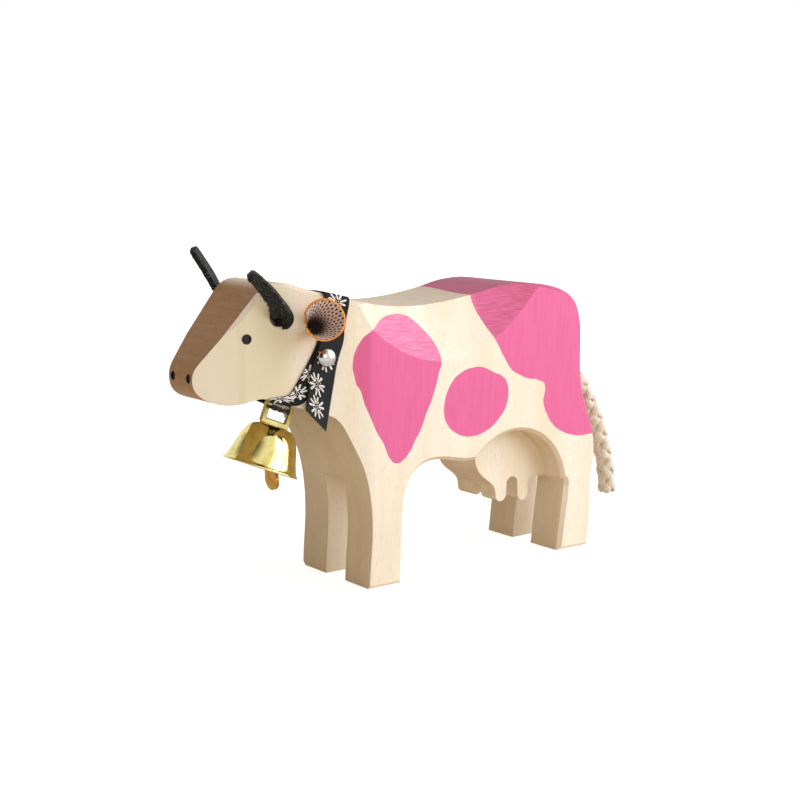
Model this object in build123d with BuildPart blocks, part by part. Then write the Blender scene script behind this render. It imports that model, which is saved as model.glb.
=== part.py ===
from build123d import *
from math import atan, atan2, cos, degrees, pi, radians, sin, tan
import os

os.makedirs("parts", exist_ok=True)

# A toy cow sawn from one block of pale wood, with leather horns and ears, a ribbon collar that
# carries a small brass bell, and a rope tail. The cow looks along -Y and stands on Z = 0.

# The block that the side view is sawn from
body_length = 141.8
body_height = 91.0
body_width = 36.0
head_width_share = 0.6333
muzzle_width_share = 0.3667
edge_break = 1.1
crease_round = 12.0
overrun = 12.0

# Where the plan view changes width, as shares of the length
shoulder_share = 0.370
muzzle_share = 0.090

# Cuts between the legs and teats, and the round pockets beside the udder
leg_gap = 10.2
leg_gap_height = 31.4
leg_gap_corner = 1.5
hind_gap = 9.0
hind_gap_share = 0.862
udder_width = 19.1
teat_gap = 4.6
teat_gap_height = 22.0
teat_width = 4.4
teat_notch = 4.6
arch_radius = 20.3
arch_shares = (0.7567, 0.2308)

# The sanded hollows along the upper flanks
scoop_radius = 158.6
scoop_tilt = 11.9
scoop_depth = 2.0
scoop_shares = (0.559, 0.824)

# Painted dimples
eye_diameter = 2.6
eye_depth = 0.5
eye_shares = (0.1016, 0.834)
nostril_diameter = 2.2
nostril_depth = 0.5
nostril_spread = 8.4
nostril_share = 0.718

# Leather horns, bent strips that stand in round holes
horn_hole = 5.4
horn_hole_depth = 5.0
horn_shares = (0.1678, 0.8956)
horn_out = 3.9
horn_reach = 10.6
horn_face_angle = 43.0
horn_rises = {"left": 13.8, "right": 18.2}
# Where a horn bends, as shares of its way out, forward and up
horn_bend_shares = (0.8, 0.33, 0.5)
horn_width = 4.6
horn_thickness = 1.8

# Leather ears, rolled cones
ear_hole = 4.6
ear_hole_depth = 4.0
ear_shares = (0.2419, 0.8604)
ear_length = 10.5
ear_mouth = 11.7
ear_wall = 0.8
ear_forward = 23.5
ear_lift = 18.7
ear_seam_angle = 66.0
ear_gap = 2.8

# Ribbon collar
ribbon_width = 7.2
ribbon_thickness = 0.5
ribbon_waist = 5.4
ribbon_top_share = 0.292
ribbon_bend_shares = (0.275, 0.813)
ribbon_low_share = 0.205
ribbon_end_above = 3.4
ribbon_end_length = 21.5
ribbon_end_cut = 6.0
ribbon_end_angle = 14.0
ribbon_run_width = 24.0
ribbon_run_share = 0.56

# Nail that holds the ribbon's ends
tack_head = 5.2
tack_head_height = 1.9
tack_shank = 1.3
tack_length = 6.0
tack_shares = (0.268, 0.765)

# Bell
bell_share = 0.222
loop_inner_width = 6.3
loop_height = 8.3
loop_side_bar = 1.6
loop_top_bar = 1.2
loop_bottom_bar = 1.8
loop_thickness = 1.2
loop_corner = 0.9
bar_round = 0.5
bell_height = 12.4
bell_mouth = 20.8
bell_waist = 15.2
bell_crown = 9.4
bell_wall = 0.7
bell_rim = 0.9
bell_shoulder = 3.6
tang_width = 3.0
tang_length = 4.0

# Clapper
pin_diameter = 1.0
pin_length = 6.0
pin_drop = 2.4
knuckle_wall = 0.6
clapper_width = 6.4
clapper_neck = 3.6
clapper_length = 15.1
clapper_thickness = 1.0
clapper_lean = 5.0

# Rope tail
rope_diameter = 6.4
arc_share = 0.45

# Gaps
seat_gap = 0.15
press_gap = 0.02
running_gap = 0.05
swing_gap = 0.3

# The sawn side view, clockwise from the nose, in shares of the length and height
nose_shares = (0.0, 0.7154)
face_shares = [(0.0148, 0.7681), (0.1185, 0.956)]
crown_shares = (0.1728, 1.0)
back_shares = [(0.2179, 0.9835), (0.2645, 0.9626), (0.3181, 0.9418), (0.3865, 0.9176)]
saddle_shares = [(0.4852, 0.9033), (0.5543, 0.9077), (0.6721, 0.9352)]
rump_top_shares = (0.7849, 0.956)
rump_shares = [(0.8533, 0.944), (0.9041, 0.9176), (0.9344, 0.878), (0.9478, 0.8209)]
tail_head_shares = (0.952, 0.7033)
ham_shares = [(0.9563, 0.5901), (0.9795, 0.4703)]
hock_shares = (1.0, 0.33)
hind_rear_shares = [(0.9937, 0.267), (0.9908, 0.2165), (0.9894, 0.1044), (0.9817, 0.0)]
hind_front_shares = [(0.8886, 0.0), (0.8992, 0.1385), (0.909, 0.2451)]
hind_step_shares = (0.8872, 0.2599)
teat_shares = {"rear": (0.8307, 0.1813), "front": (0.7652, 0.1901)}
notch_share = 0.2725
udder_shares = [(0.7398, 0.2549), (0.7214, 0.2769), (0.7031, 0.3022), (0.6932, 0.3286)]
belly_shares = [(0.6904, 0.3758), (0.6107, 0.3758), (0.5395, 0.3934), (0.5, 0.3835)]
elbow_shares = [(0.4732, 0.3505), (0.4549, 0.2824), (0.4492, 0.1538)]
fore_foot_shares = [(0.4455, 0.0), (0.3618, 0.0)]
chest_shares = [(0.3685, 0.1681), (0.3639, 0.3077), (0.3491, 0.4022), (0.3188, 0.5)]
throat_shares = [(0.275, 0.5791), (0.1403, 0.6473)]
chin_shares = [(0.1065, 0.6418), (0.0748, 0.6341), (0.0409, 0.6418), (0.0106, 0.6703)]

# The tail's route, from the bottom of its hole in the rump to its cut end, in the same shares
tail_shares = [
    (0.9097, 0.6066),
    (0.9866, 0.6088),
    (1.0487, 0.5868),
    (1.0889, 0.4989),
    (1.1227, 0.3956),
    (1.1474, 0.2857),
    (1.1601, 0.2022),
    (1.1643, 0.1253),
]


def spot(shares):
    """A point of the side view, as Y and Z, from its shares of the length and height."""
    return ((shares[0] - 0.5) * body_length, shares[1] * body_height)


def spots(rows):
    return [spot(row) for row in rows]


def along(start, end):
    return (end[0] - start[0], end[1] - start[1])


head_width = head_width_share * body_width
muzzle_width = muzzle_width_share * body_width
nose = spot(nose_shares)
face_low, face_high = spots(face_shares)
throat_rear, throat_front = spots(throat_shares)
face_line = along(face_low, face_high)
throat_line = along(throat_rear, throat_front)
shoulder_y = spot((shoulder_share, 0))[0]
muzzle_y = spot((muzzle_share, 0))[0]
neck_angle = degrees(atan2((body_width - head_width) / 2, shoulder_y - muzzle_y))
throat_angle = degrees(atan2(throat_line[1], -throat_line[0]))


def half_width(y):
    """Half the neck's or head's width where the sides taper towards the muzzle."""
    return body_width / 2 - (shoulder_y - y) * tan(radians(neck_angle))


def side_plane(shares, side=1):
    """A plane on the tapered side of the neck that faces out, with local Y up."""
    y, z = spot(shares)
    out = (side * cos(radians(neck_angle)), -sin(radians(neck_angle)), 0)
    back = (sin(radians(neck_angle)), side * cos(radians(neck_angle)), 0)
    return Plane(origin=(side * half_width(y), y, z), x_dir=back, z_dir=out)


def throat_z(y):
    """The level of the straight throat line at a place along the block."""
    return throat_rear[1] + (throat_rear[0] - y) * tan(radians(throat_angle))


def under_neck(place):
    """Whether a place lies under the jaw or down the chest."""
    return muzzle_y < place.Y < shoulder_y and 0 < place.Z < throat_front[1] + edge_break


muzzle_angle = degrees(atan2((head_width - muzzle_width) / 2, muzzle_y - nose[0]))

# The bell hangs square to the throat line, with its loop's top bar against the wood
bell_up = (0, sin(radians(throat_angle)), cos(radians(throat_angle)))
bell_along = (0, cos(radians(throat_angle)), -sin(radians(throat_angle)))
bell_y = spot((bell_share, 0))[0]
pivot_drop = seat_gap + loop_top_bar / 2
pivot = (0, bell_y - pivot_drop * bell_up[1], throat_z(bell_y) - pivot_drop * bell_up[2])
bell_side = Plane(origin=pivot, x_dir=bell_along, z_dir=(1, 0, 0))
bell_axis = Axis(pivot, bell_up)
throat_plane = Plane(origin=(0, bell_y, throat_z(bell_y)), x_dir=(1, 0, 0), z_dir=bell_along)
crown_level = loop_top_bar / 2 - loop_height
pin_level = crown_level - pin_drop
pin_centre = (0, pivot[1] + pin_level * bell_up[1], pivot[2] + pin_level * bell_up[2])

tail_route = [(0, *spot(row)) for row in tail_shares]

with BuildPart() as sawn_block:
    with BuildSketch(Plane.YZ):
        with BuildLine():
            Spline(nose, face_low, tangents=((0, 1), face_line))
            Line(face_low, face_high)
            crown = spot(crown_shares)
            Spline(face_high, crown, tangents=(face_line, (1, 0)))
            rump_top = spot(rump_top_shares)
            back = spots(back_shares) + spots(saddle_shares)
            Spline(crown, *back, rump_top, tangents=((1, 0), (1, 0)))
            tail_head = spot(tail_head_shares)
            Spline(rump_top, *spots(rump_shares), tail_head, tangents=((1, 0), (0, -1)))
            hock = spot(hock_shares)
            Spline(tail_head, *spots(ham_shares), hock, tangents=((0, -1), (0, -1)))
            hind_rear = spots(hind_rear_shares)
            heel_line = along(hind_rear[-2], hind_rear[-1])
            Spline(hock, *hind_rear, tangents=((0, -1), heel_line))
            hind_front = spots(hind_front_shares)
            Line(hind_rear[-1], hind_front[0])
            Spline(*hind_front)
            # The rounded step behind the udder, down to the rear teat
            step = spot(hind_step_shares)
            rear_tip, front_tip = spot(teat_shares["rear"]), spot(teat_shares["front"])
            tip_round = teat_width / 2
            teat_y = rear_tip[0] + tip_round
            step_round = step[1] - hind_front[-1][1]
            shin_line = along(hind_front[-2], hind_front[-1])
            step_end = (teat_y + step_round, step[1])
            teat_start = (teat_y, step[1] - step_round)
            Spline(hind_front[-1], step, tangents=(shin_line, (-1, 0)))
            Line(step, step_end)
            Spline(step_end, teat_start, tangents=((-1, 0), (0, -1)))
            rear_low = rear_tip[1] + tip_round
            Line(teat_start, (teat_y, rear_low))
            # Both teats, and the notch between them
            ThreePointArc((teat_y, rear_low), rear_tip, (rear_tip[0] - tip_round, rear_low))
            notch_y = (rear_tip[0] + front_tip[0]) / 2
            notch_z = spot((0, notch_share))[1]
            notch_low = notch_z - teat_notch / 2
            notch_rear = (notch_y + teat_notch / 2, notch_low)
            notch_front = (notch_y - teat_notch / 2, notch_low)
            Line((rear_tip[0] - tip_round, rear_low), notch_rear)
            ThreePointArc(notch_rear, (notch_y, notch_z), notch_front)
            front_low = front_tip[1] + tip_round
            front_start = (front_tip[0] + tip_round, front_low)
            front_end = (front_tip[0] - tip_round, front_low)
            Line(notch_front, front_start)
            ThreePointArc(front_start, front_tip, front_end)
            udder = spots(udder_shares)
            belly = spots(belly_shares)
            Spline(front_end, *udder, belly[0])
            elbow = spots(elbow_shares)
            fore_rear, fore_front = spots(fore_foot_shares)
            Spline(*belly, *elbow, fore_rear, tangents=((-1, 0), (0, -1)))
            Line(fore_rear, fore_front)
            Spline(fore_front, *spots(chest_shares), throat_rear, tangents=((0, 1), throat_line))
            Line(throat_rear, throat_front)
            Spline(throat_front, *spots(chin_shares), nose, tangents=(throat_line, (0, 1)))
        make_face()
    extrude(amount=body_width / 2, both=True)
    # The plan view narrows from the shoulders to the muzzle
    with BuildSketch(Plane.XY):
        with BuildLine():
            rear_y, front_y = body_length / 2 + overrun, nose[0]
            half = body_width / 2
            narrowing = (head_width - muzzle_width) / 2 / (muzzle_y - front_y)
            edge = Polyline(
                (0, front_y - overrun / 2),
                (muzzle_width / 2 - narrowing * overrun / 2, front_y - overrun / 2),
                (head_width / 2, muzzle_y),
                (half, shoulder_y),
                (half, rear_y),
                (0, rear_y),
            )
            mirror(edge, about=Plane.YZ)
        make_face()
        # The crease where the taper starts is sanded soft
        fillet([vertex for vertex in vertices() if abs(vertex.Y - shoulder_y) < edge_break], crease_round)
    extrude(amount=body_height + overrun, mode=Mode.INTERSECT)
    # Round pockets leave the udder narrower than the belly
    with BuildSketch(Plane.YZ.offset(udder_width / 2)):
        with Locations(spot(arch_shares)):
            Circle(arch_radius)
    pocket = extrude(amount=body_width, mode=Mode.SUBTRACT)
    mirror(pocket, about=Plane.YZ, mode=Mode.SUBTRACT)

    facing = cos(radians(2 * muzzle_angle))
    sides = sawn_block.faces().filter_by(lambda face: abs(face.normal_at().X) > facing)
    # The muzzle's sides and the pockets' floors keep sharp edges
    inner = udder_width / 2 + edge_break
    outer = sides.filter_by(lambda face: abs(face.center().X) > inner and face.center().Y > muzzle_y)
    rims = [edge for edge in outer.edges() if sum(edge in face.edges() for face in outer) == 1]
    # The edges under the jaw and down the chest stay sharp
    rims = [edge for edge in rims if not under_neck(edge.center())]
    chamfer(rims, edge_break)
    # Hollows along the upper flanks, leaning in towards the back
    scoop_y, scoop_z = spot(scoop_shares)
    scoop_x = body_width / 2 - scoop_depth + scoop_radius / cos(radians(scoop_tilt))
    lean = (-sin(radians(scoop_tilt)), 0, cos(radians(scoop_tilt)))
    scoop_axis = Plane(origin=(scoop_x, scoop_y, scoop_z), z_dir=lean)
    with BuildSketch(scoop_axis.offset(-body_height / 2)):
        Circle(scoop_radius)
    scoop = extrude(amount=body_height, mode=Mode.SUBTRACT)
    mirror(scoop, about=Plane.YZ, mode=Mode.SUBTRACT)
    # Saw cuts part the legs and the teats
    for width, height, corner, start, end in (
        (leg_gap, leg_gap_height, leg_gap_corner, belly[2][0], -body_length),
        (hind_gap, leg_gap_height, leg_gap_corner, body_length, spot((hind_gap_share, 0))[0]),
        (teat_gap, teat_gap_height, teat_gap / 3, rear_tip[0] + teat_width, belly[0][0]),
    ):
        with BuildSketch(Plane.XZ.offset(-start)):
            Rectangle(width, 2 * height)
            fillet(vertices().group_by(Axis.Y)[-1], corner)
        extrude(amount=start - end, mode=Mode.SUBTRACT)

# The block is drilled for the horns, ears, nail and tail, and dimpled for the eyes and nostrils
with BuildPart() as wooden_body:
    add(sawn_block.part)
    for side in (1, -1):
        for shares, bore, deep in (
            (horn_shares, horn_hole, horn_hole_depth),
            (ear_shares, ear_hole, ear_hole_depth),
            (eye_shares, eye_diameter, eye_depth),
        ):
            with BuildSketch(side_plane(shares, side)):
                Circle(bore / 2)
            extrude(amount=-deep, mode=Mode.SUBTRACT)
    with BuildSketch(side_plane(tack_shares)):
        Circle(tack_shank / 2 + running_gap)
    extrude(amount=-tack_length, mode=Mode.SUBTRACT)
    with BuildSketch(Plane.XZ.offset(-nose[0] - nostril_depth)):
        with Locations((0, spot((0, nostril_share))[1])):
            with GridLocations(nostril_spread, 0, 2, 1):
                Circle(nostril_diameter / 2)
    extrude(amount=nostril_depth + overrun, mode=Mode.SUBTRACT)
    with BuildSketch(Plane.XZ.offset(seat_gap - tail_route[0][1])):
        with Locations((tail_route[0][0], tail_route[0][2])):
            Circle(rope_diameter / 2 + seat_gap)
    extrude(amount=-body_length / 2, mode=Mode.SUBTRACT)
wooden_body.part.label = "wooden_body"

# Horns: a strip that comes up out of its hole, bends forward and tapers
horn_section_shares = ((0.0, 1.0), (0.3, 1.0), (0.6, 0.85), (0.93, 0.62), (1.0, 0.36))
horns = {}
for name, side in (("left", 1), ("right", -1)):
    frame = side_plane(horn_shares, side)
    forward = frame.x_dir * -side
    face = Vector(side * sin(radians(horn_face_angle)), -cos(radians(horn_face_angle)), 0)
    tip = frame.origin + frame.z_dir * horn_out + forward * horn_reach + frame.y_dir * horn_rises[name]
    root = frame.origin - frame.z_dir * horn_thickness - frame.y_dir * horn_thickness
    bend_out, bend_forward, bend_up = horn_bend_shares
    middle = frame.origin + frame.z_dir * horn_out * bend_out
    middle = middle + forward * horn_reach * bend_forward + frame.y_dir * horn_rises[name] * bend_up
    with BuildPart() as horn:
        with BuildLine(mode=Mode.PRIVATE):
            path = Spline(root, middle, tip, tangents=(frame.z_dir + frame.y_dir, tip - middle))
        for share, width_share in horn_section_shares:
            heading = path % share
            with BuildSketch(Plane(origin=path @ share, x_dir=heading.cross(face), z_dir=heading)):
                RectangleRounded(horn_width * width_share, horn_thickness, horn_thickness / 3)
        loft()
        add(wooden_body.part, mode=Mode.SUBTRACT)
    horn.part.label = f"horn_{name}"
    horns[name] = horn

# Ears: cones rolled from leather, with a gap where the edges meet
ears = {}
ear_root = ear_hole / 2
ear_flare = (ear_mouth / 2 - ear_root) / ear_length
for name, side in (("left", 1), ("right", -1)):
    level = cos(radians(ear_lift))
    turn = radians(ear_forward)
    heading = (side * level * cos(turn), -level * sin(turn), sin(radians(ear_lift)))
    seat = Plane(origin=side_plane(ear_shares, side).origin, x_dir=(0, 0, -1), z_dir=heading)
    with BuildPart() as ear:
        with BuildSketch(Plane(origin=seat.origin, x_dir=seat.x_dir, z_dir=seat.y_dir)):
            with BuildLine():
                base = (ear_root * (1 - ear_flare), ear_root)
                lip = (ear_mouth / 2, -ear_length)
                inner_lip = (ear_mouth / 2 - ear_wall, -ear_length)
                bottom = (ear_wall, -ear_wall)
                Polyline((0, ear_root), base, lip, inner_lip, bottom, (0, -ear_wall), close=True)
            make_face()
        revolve(axis=Axis(seat.origin, seat.z_dir))
        seam = Plane(seat.location * Rotation(0, 0, -side * ear_seam_angle))
        with BuildSketch(Plane(origin=seam.origin, x_dir=seam.y_dir, z_dir=seam.x_dir)):
            seam_end = ear_length + ear_wall
            seam_half = ear_gap / 2
            Polygon((0, ear_length / 3), (seam_half, seam_end), (-seam_half, seam_end), align=None)
        extrude(amount=ear_mouth, mode=Mode.SUBTRACT)
        add(wooden_body.part, mode=Mode.SUBTRACT)
    ear.part.label = f"ear_{name}"
    ears[name] = ear

# The ribbon lies on the neck, leans forward and runs through the bell's loop under the throat
ribbon_top = spot((ribbon_top_share, 1))
ribbon_bend = spot(ribbon_bend_shares)
ribbon_low_y = spot((ribbon_low_share, 0))[0]
ribbon_low = (ribbon_low_y, throat_z(ribbon_low_y))
ribbon_run = along(ribbon_bend, ribbon_low)
# The side view's outline runs on past the throat and is cut there
ribbon_end = (ribbon_low[0] + ribbon_run[0] / 2, ribbon_low[1] + ribbon_run[1] / 2)
tack_plane = side_plane(tack_shares)
with BuildPart() as throat_run:
    # The stretch under the throat, pushed off the wood by the loop's top bar
    with BuildSketch(throat_plane.offset(-ribbon_width)):
        edge = ribbon_run_width / 2
        flat = ribbon_waist / 2
        deep = loop_top_bar + 2 * seat_gap
        Polygon(
            (-edge, 0),
            (-flat, deep),
            (flat, deep),
            (edge, 0),
            (edge, ribbon_thickness),
            (flat, deep + ribbon_thickness),
            (-flat, deep + ribbon_thickness),
            (-edge, ribbon_thickness),
            align=None,
        )
    extrude(amount=2 * ribbon_width)
    gather = Plane(origin=pivot, x_dir=(1, 0, 0), z_dir=bell_up)
    with BuildSketch(gather.offset(-body_height / 2)):
        side_front = ribbon_low[0] - pivot[1] - ribbon_width * ribbon_run_share
        side_rear = ribbon_low[0] - pivot[1] + ribbon_width * ribbon_run_share
        Polygon(
            (-edge, side_front),
            (-flat, -ribbon_waist / 2),
            (flat, -ribbon_waist / 2),
            (edge, side_front),
            (edge, side_rear),
            (flat, ribbon_waist / 2),
            (-flat, ribbon_waist / 2),
            (-edge, side_rear),
            align=None,
        )
    extrude(amount=body_height, mode=Mode.INTERSECT)
with BuildPart() as collar_ribbon:
    with BuildSketch(Plane.YZ.offset(-body_width / 2)):
        rise = degrees(atan2(ribbon_top[1] - ribbon_bend[1], ribbon_top[0] - ribbon_bend[0]))
        fall = degrees(atan2(ribbon_bend[1] - ribbon_low[1], ribbon_bend[0] - ribbon_low[0]))
        top_half = ribbon_width / 2 / sin(radians(rise))
        low_half = ribbon_width / 2 / sin(radians(fall))
        bend_half = ribbon_width / 2 / sin(radians((rise + fall) / 2))
        Polygon(
            (ribbon_top[0] - top_half, ribbon_top[1]),
            (ribbon_bend[0] - bend_half, ribbon_bend[1]),
            (ribbon_end[0] - low_half, ribbon_end[1]),
            (ribbon_end[0] + low_half, ribbon_end[1]),
            (ribbon_bend[0] + bend_half, ribbon_bend[1]),
            (ribbon_top[0] + top_half, ribbon_top[1]),
            align=None,
        )
        # Cut to the neck's own height, plus the ribbon's thickness
        back_front, back_rear = spot(back_shares[0]), spot(back_shares[3])
        mid_front, mid_rear = spot(back_shares[1]), spot(back_shares[2])
        slope = (mid_rear[1] - mid_front[1]) / (mid_rear[0] - mid_front[0])
        lift = ribbon_thickness / cos(atan(slope))
        drop = ribbon_thickness / cos(radians(throat_angle))
        Polygon(
            (back_front[0], mid_front[1] + lift + slope * (back_front[0] - mid_front[0])),
            (back_rear[0], mid_front[1] + lift + slope * (back_rear[0] - mid_front[0])),
            (back_rear[0], throat_z(back_rear[0]) - drop),
            (throat_front[0], throat_front[1] - drop),
            align=None,
            mode=Mode.INTERSECT,
        )
    extrude(amount=body_width)
    with BuildSketch(Plane.XY):
        spread = ribbon_thickness / cos(radians(neck_angle))
        ahead = (head_width / 2 + spread, muzzle_y)
        behind = (body_width / 2 + spread, shoulder_y)
        Polygon(ahead, behind, (-behind[0], behind[1]), (-ahead[0], ahead[1]), align=None)
    extrude(amount=body_height + overrun, mode=Mode.INTERSECT)
    add(sawn_block.part, mode=Mode.SUBTRACT)
    with BuildSketch(throat_plane.offset(-2 * ribbon_width)):
        Rectangle(ribbon_run_width, body_height / 4)
    extrude(amount=4 * ribbon_width, mode=Mode.SUBTRACT)
    add(throat_run.part)
    # The two ends cross under the nail, and one hangs down with a slanting cut
    end_seat = tack_plane.offset(ribbon_thickness).location
    with BuildSketch(Plane(end_seat * Rotation(0, 0, -ribbon_end_angle))):
        half = ribbon_width / 2
        Polygon(
            (-half, ribbon_end_above),
            (half, ribbon_end_above),
            (half, -ribbon_end_length),
            (-half, ribbon_end_cut - ribbon_end_length),
            align=None,
        )
    extrude(amount=ribbon_thickness)
    with BuildSketch(tack_plane):
        Circle(tack_shank / 2 + running_gap)
    extrude(amount=2 * ribbon_thickness, mode=Mode.SUBTRACT)
    for ear in ears.values():
        add(ear.part, mode=Mode.SUBTRACT)
collar_ribbon.part.label = "collar_ribbon"

# A domed nail pins the ribbon's ends to the neck
with BuildPart() as ribbon_tack:
    head_seat = tack_plane.offset(2 * ribbon_thickness)
    with BuildSketch(Plane(origin=head_seat.origin, x_dir=head_seat.x_dir, z_dir=-head_seat.y_dir)):
        with BuildLine():
            cap_edge = (tack_head / 2, 0)
            cap_top = (0, tack_head_height)
            Line((0, 0), cap_edge)
            TangentArc(cap_top, cap_edge, tangent=(1, 0))
            Line(cap_top, (0, 0))
        make_face()
    revolve(axis=Axis(head_seat.origin, head_seat.z_dir))
    with BuildSketch(head_seat):
        Circle(tack_shank / 2)
    extrude(amount=seat_gap - tack_length)
ribbon_tack.part.label = "ribbon_tack"

# Bell loop: a flat frame with a tang that goes through the shell's crown
with BuildPart() as bell_loop:
    with BuildSketch(bell_side.offset(-loop_thickness / 2)):
        loop_width = loop_inner_width + 2 * loop_side_bar
        window = loop_height - loop_top_bar - loop_bottom_bar
        with Locations((0, loop_top_bar / 2)):
            Rectangle(loop_width, loop_height, align=(Align.CENTER, Align.MAX))
        fillet(vertices().group_by(Axis.Y)[0], loop_corner)
        with Locations((0, crown_level)):
            Rectangle(tang_width, tang_length, align=(Align.CENTER, Align.MAX))
        with Locations((0, -loop_top_bar / 2)):
            Rectangle(loop_inner_width, window, align=(Align.CENTER, Align.MAX), mode=Mode.SUBTRACT)
    extrude(amount=loop_thickness)
    # The top bar is rounded, because it turns between the wood and the ribbon
    bar_edges = bell_loop.edges().filter_by(Axis(pivot, bell_along))
    fillet(bar_edges.sort_by_distance(pivot)[:4], bar_round)
    with BuildSketch(bell_side.offset(-overrun)):
        with Locations((0, pin_level)):
            Circle(pin_diameter / 2 + press_gap)
    extrude(amount=2 * overrun, mode=Mode.SUBTRACT)
bell_loop.part.label = "bell_loop"

# Bell shell: spun sheet with a round shoulder, a flare and a beaded rim
with BuildPart() as bell_shell:
    with BuildSketch(bell_side):
        with BuildLine():
            mouth_level = crown_level - bell_height
            shoulder_level = crown_level - bell_shoulder
            crown_edge = (bell_crown / 2, crown_level)
            shoulder = (bell_waist / 2, shoulder_level)
            lip = (bell_mouth / 2 - bell_rim / 2, mouth_level + bell_rim)
            flare = along(shoulder, lip)
            Line((0, crown_level), crown_edge)
            Spline(crown_edge, shoulder, tangents=((1, 0), flare))
            Line(shoulder, lip)
            rim_out = (bell_mouth / 2, mouth_level + bell_rim / 2)
            ThreePointArc(lip, rim_out, (bell_mouth / 2 - bell_rim / 2, mouth_level))
            rim_in = (lip[0] - bell_wall, mouth_level)
            Line((bell_mouth / 2 - bell_rim / 2, mouth_level), rim_in)
            inner_shoulder = (shoulder[0] - bell_wall, shoulder_level)
            inner_crown = (bell_crown / 2 - bell_wall / 2, crown_level - bell_wall)
            Line(rim_in, inner_shoulder)
            Spline(inner_shoulder, inner_crown, tangents=((-flare[0], -flare[1]), (-1, 0)))
            Polyline(inner_crown, (0, crown_level - bell_wall), (0, crown_level))
        make_face()
    revolve(axis=bell_axis)
    crown_slot = Plane(origin=pivot, x_dir=bell_along, z_dir=bell_up)
    with BuildSketch(crown_slot.offset(crown_level - 2 * bell_wall)):
        Rectangle(tang_width + 2 * press_gap, loop_thickness + 2 * press_gap)
    extrude(amount=3 * bell_wall, mode=Mode.SUBTRACT)
bell_shell.part.label = "bell_shell"

# The pin that hangs the clapper from the tang
with BuildPart() as clapper_pin:
    with BuildSketch(bell_side.offset(-pin_length / 2)):
        with Locations((0, pin_level)):
            Circle(pin_diameter / 2)
    extrude(amount=pin_length)
clapper_pin.part.label = "clapper_pin"

# Clapper: a strip rolled round the pin, hanging nearly plumb, with a round end
with BuildPart() as clapper:
    front = (0, -cos(radians(clapper_lean)), -sin(radians(clapper_lean)))
    hang = Plane(origin=pin_centre, x_dir=(1, 0, 0), z_dir=front)
    barrel = Plane(origin=pin_centre, x_dir=(0, 1, 0), z_dir=(1, 0, 0))
    knuckle = pin_diameter / 2 + running_gap + knuckle_wall
    with BuildSketch(hang.offset(-clapper_thickness / 2)):
        disc = clapper_width / 2
        with Locations((0, disc - clapper_length)):
            Circle(disc)
        Polygon(
            (-clapper_neck / 2, 0),
            (clapper_neck / 2, 0),
            (disc, disc - clapper_length),
            (-disc, disc - clapper_length),
            align=None,
        )
    extrude(amount=clapper_thickness)
    with BuildSketch(barrel.offset(-clapper_neck / 2)):
        Circle(knuckle)
    extrude(amount=clapper_neck)
    with BuildSketch(barrel.offset(-overrun)):
        Circle(pin_diameter / 2 + running_gap)
    extrude(amount=2 * overrun, mode=Mode.SUBTRACT)
    with BuildSketch(hang.offset(-overrun)):
        Rectangle(loop_thickness + 2 * swing_gap, 2 * (knuckle + tang_length - pin_drop))
    extrude(amount=2 * overrun, mode=Mode.SUBTRACT)
clapper.part.label = "clapper"

# The tail is a short length of rope, pushed into its hole
turns = []
for before, corner, after in zip(tail_route, tail_route[1:], tail_route[2:]):
    first, second = Vector(*corner) - Vector(*before), Vector(*after) - Vector(*corner)
    shorter = min(first.length, second.length)
    turns.append(arc_share * shorter / tan(radians(first.get_angle(second)) / 2))
with BuildPart() as tail_rope:
    with BuildLine() as tail_line:
        FilletPolyline(*tail_route, radius=turns)
    with BuildSketch(Plane(origin=tail_route[0], z_dir=tail_line.line % 0)):
        Circle(rope_diameter / 2)
    sweep()
tail_rope.part.label = "tail_rope"
section = pi * (rope_diameter / 2) ** 2
print("tail volume", tail_rope.part.volume, "section times length", section * tail_line.wires()[0].length)

pieces = [wooden_body, horns["left"], horns["right"], ears["left"], ears["right"], collar_ribbon]
pieces += [ribbon_tack, bell_loop, bell_shell, clapper_pin, clapper, tail_rope]
for piece in pieces:
    export_step(piece.part, f"parts/{piece.part.label}.step")
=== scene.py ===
import bpy
import random
from math import atan, atan2, copysign, cos, hypot, pi, radians, sin
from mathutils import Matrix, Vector
from mathutils.bvhtree import BVHTree


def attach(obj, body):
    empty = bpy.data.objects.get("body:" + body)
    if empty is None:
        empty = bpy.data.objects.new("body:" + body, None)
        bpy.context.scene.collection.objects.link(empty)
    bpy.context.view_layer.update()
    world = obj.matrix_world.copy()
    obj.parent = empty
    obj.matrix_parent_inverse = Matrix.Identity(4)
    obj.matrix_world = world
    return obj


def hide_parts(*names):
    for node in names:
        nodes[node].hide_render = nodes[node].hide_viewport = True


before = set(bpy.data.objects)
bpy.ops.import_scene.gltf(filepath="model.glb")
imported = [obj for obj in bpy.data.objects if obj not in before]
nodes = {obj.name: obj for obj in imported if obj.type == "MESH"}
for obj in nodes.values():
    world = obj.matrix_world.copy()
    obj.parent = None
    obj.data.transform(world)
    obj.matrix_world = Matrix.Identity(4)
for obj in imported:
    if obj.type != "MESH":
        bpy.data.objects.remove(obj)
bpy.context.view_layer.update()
mm = 0.001
perMm = 1000.0
sides = {"left": 1, "right": -1}
plainWhite = (1, 1, 1, 1)
dice = random.Random(11)
print("frame loaded:", len(nodes), "pieces")


def newObject(name, data):
    made = bpy.data.objects.new(name, data)
    bpy.context.scene.collection.objects.link(made)
    return made


# Camera, in the photograph's place

photoCamera = {
    "place": (363.798, -267.651, 123.984),  # mm
    "down": 9.0256,  # degrees below level
    "turn": 53.1787,  # degrees from -Y round towards +X
    "lens": 67.5, "sensor": 36.0,
}


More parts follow.
